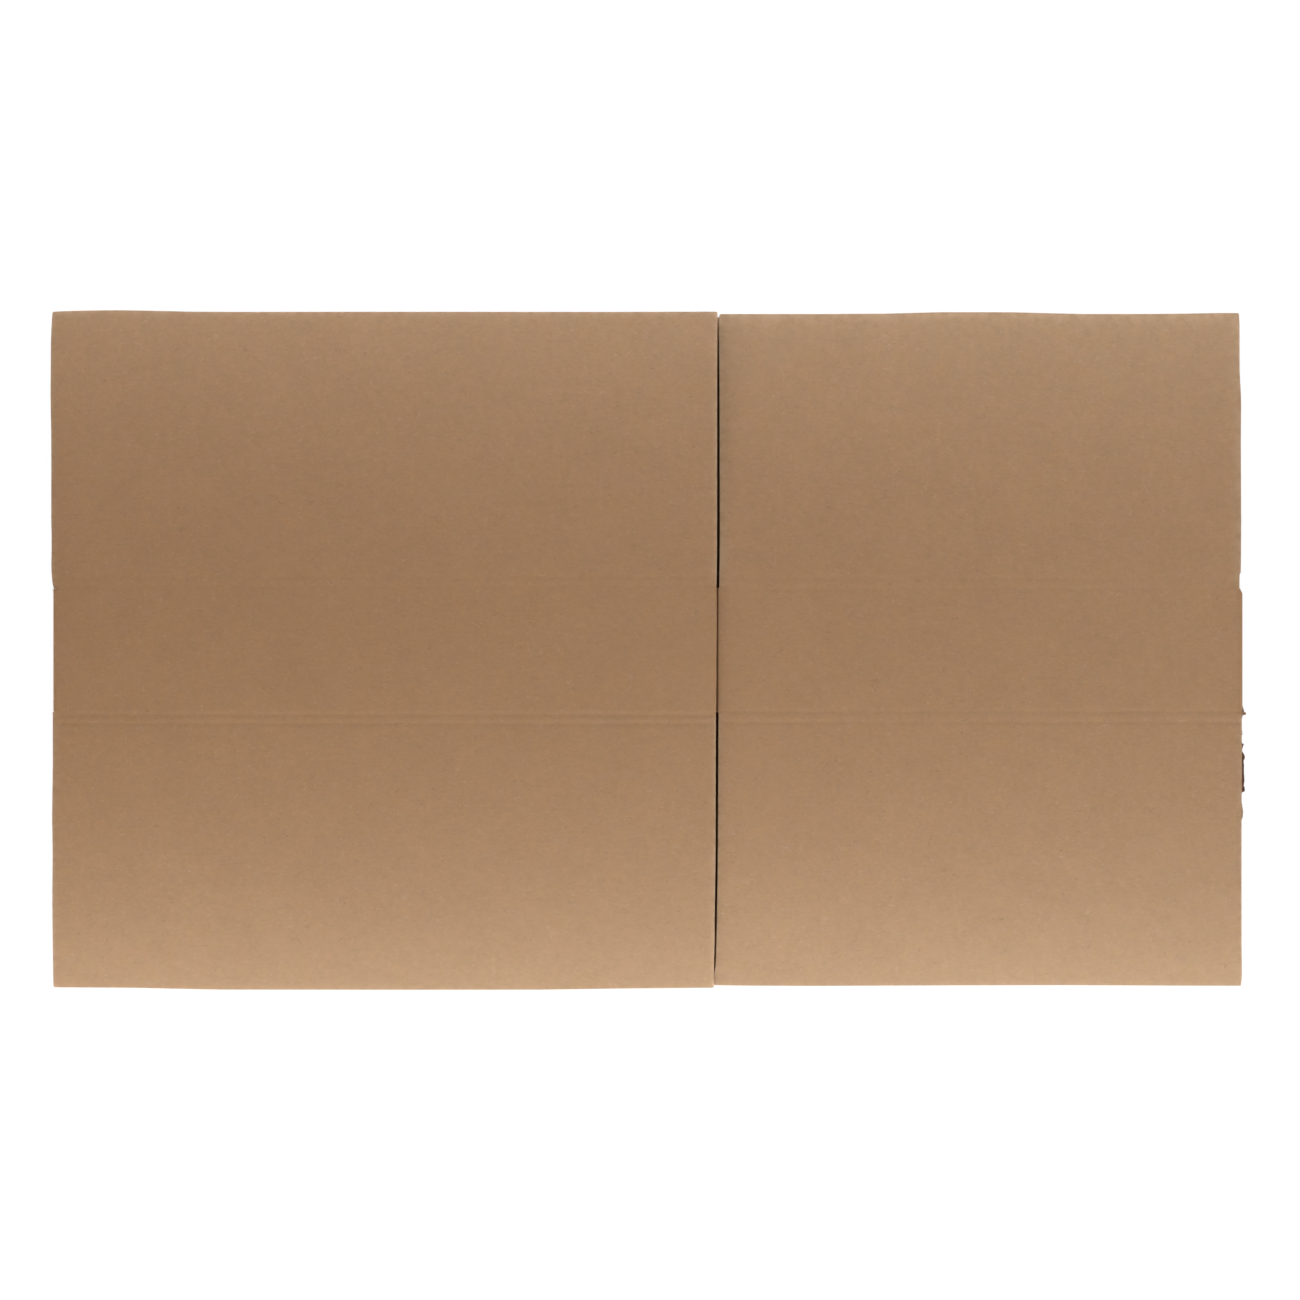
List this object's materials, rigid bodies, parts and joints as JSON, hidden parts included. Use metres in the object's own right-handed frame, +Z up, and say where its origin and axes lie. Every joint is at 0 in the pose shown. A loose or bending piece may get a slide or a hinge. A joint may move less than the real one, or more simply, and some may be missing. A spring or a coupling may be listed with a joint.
{
  "type": "flattened cardboard box",
  "caption": "Plain slotted carton of corrugated board, glued into a sleeve and folded flat, with scored flaps and flutes open at their free ends.",
  "frame": {"origin": "middle of the underside, on the surface the folded carton lies on", "axes": "+X from the long panel's fold to the short panel's fold, +Y along the flutes, +Z up"},
  "size_m": [0.9163, 0.5186, 0.0122],
  "materials": {
    "kraft_board": "matt brown kraft paper, faintly mottled and fibrous"
  },
  "bodies": {
    "root": {"folded_carton": "kraft_board"}
  },
  "joints": []
}
